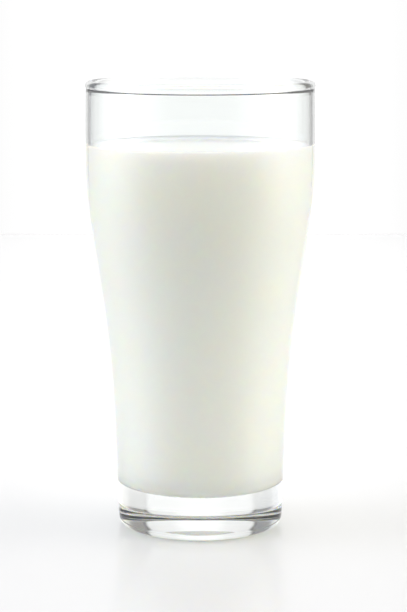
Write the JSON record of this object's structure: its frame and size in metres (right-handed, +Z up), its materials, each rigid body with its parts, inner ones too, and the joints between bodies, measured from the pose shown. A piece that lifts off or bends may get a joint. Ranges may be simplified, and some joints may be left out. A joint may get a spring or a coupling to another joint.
{
  "type": "glass of milk",
  "caption": "Tall bell-shaped tumbler of clear glass with a thick foot and a rolled rim, filled with milk to a little below the rim.",
  "frame": {"origin": "centre of the foot, on the surface that the glass stands on", "axes": "+Z up along the glass's axis of revolution; X and Y are any two level directions, as the glass is round"},
  "size_m": [0.0782, 0.0782, 0.154],
  "materials": {
    "clear_glass": "clear soda-lime glass, blown and fire-polished",
    "milk": "wet whole milk, opaque, soft white"
  },
  "bodies": {
    "root": {"tumbler": "clear_glass", "milk": "milk"}
  },
  "joints": []
}
